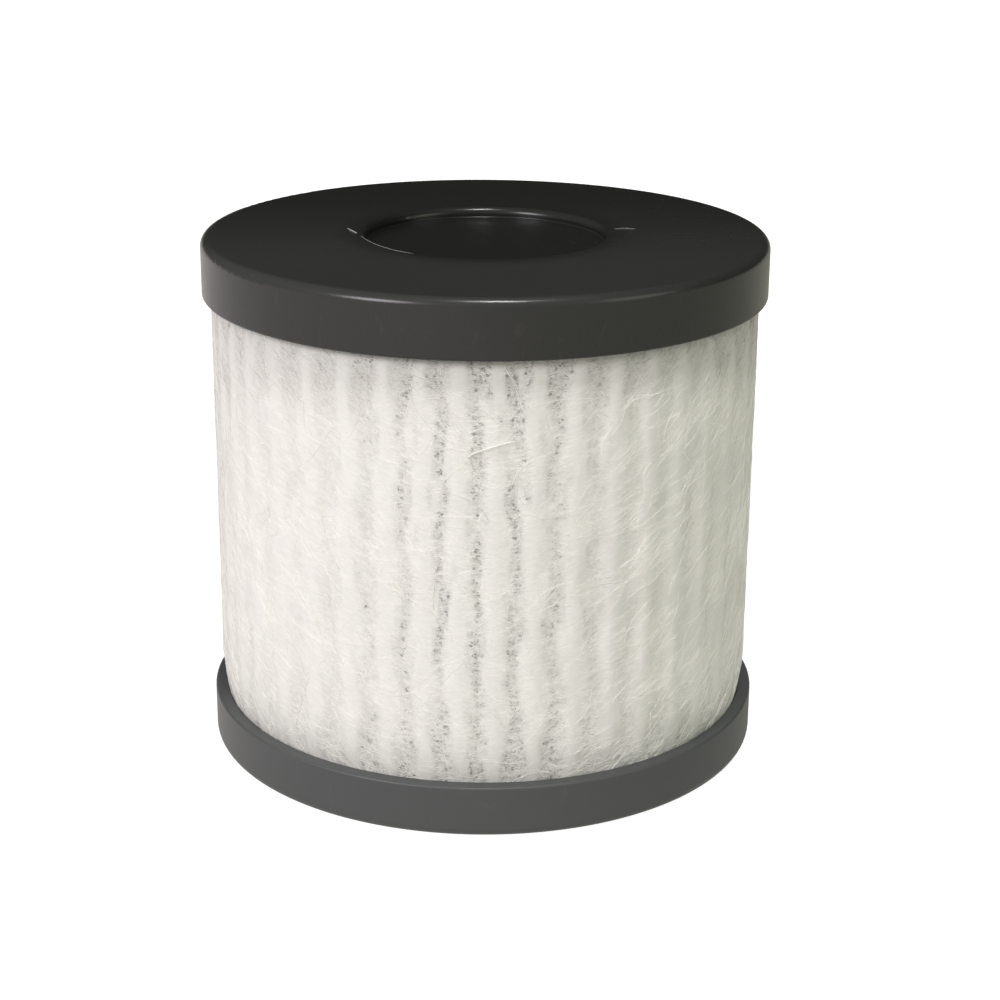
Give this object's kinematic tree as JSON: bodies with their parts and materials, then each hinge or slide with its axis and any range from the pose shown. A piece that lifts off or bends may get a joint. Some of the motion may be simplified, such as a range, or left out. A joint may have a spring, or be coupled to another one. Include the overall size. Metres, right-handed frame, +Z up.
{
  "type": "pleated filter cartridge",
  "caption": "Round free-standing cartridge: a pleated white pack in a sheer fibre web between two dark moulded end caps, closed at the top, with an outlet in the base.",
  "frame": {"origin": "centre of the open cap's outer face, on which the cartridge stands", "axes": "+Z up along the cartridge's axis, out through the closed cap; -Y is the side nearest the camera, and the seams are at +Y"},
  "size_m": [0.08, 0.08, 0.0745],
  "materials": {
    "cap_plastic": "dark grey moulded plastic, satin",
    "fibre_web": "sheer spun fibre web, white",
    "hot_melt": "hot-melt adhesive, cloudy",
    "scrim": "white non-woven, fibrous",
    "medium": "white filter felt",
    "core_plastic": "natural white moulded plastic",
    "potting": "set adhesive, dark grey",
    "seal_rubber": "soft black rubber"
  },
  "bodies": {
    "root": {"closed_end_cap": "cap_plastic", "open_end_cap": "cap_plastic", "fibre_web": "fibre_web", "web_seam_bead": "hot_melt", "upstream_scrim": "scrim", "filter_medium": "medium", "downstream_scrim": "scrim", "pleat_seam_bead": "hot_melt", "support_core": "core_plastic", "closed_end_potting": "potting", "open_end_potting": "potting", "outlet_seal_ring": "seal_rubber"}
  },
  "joints": []
}
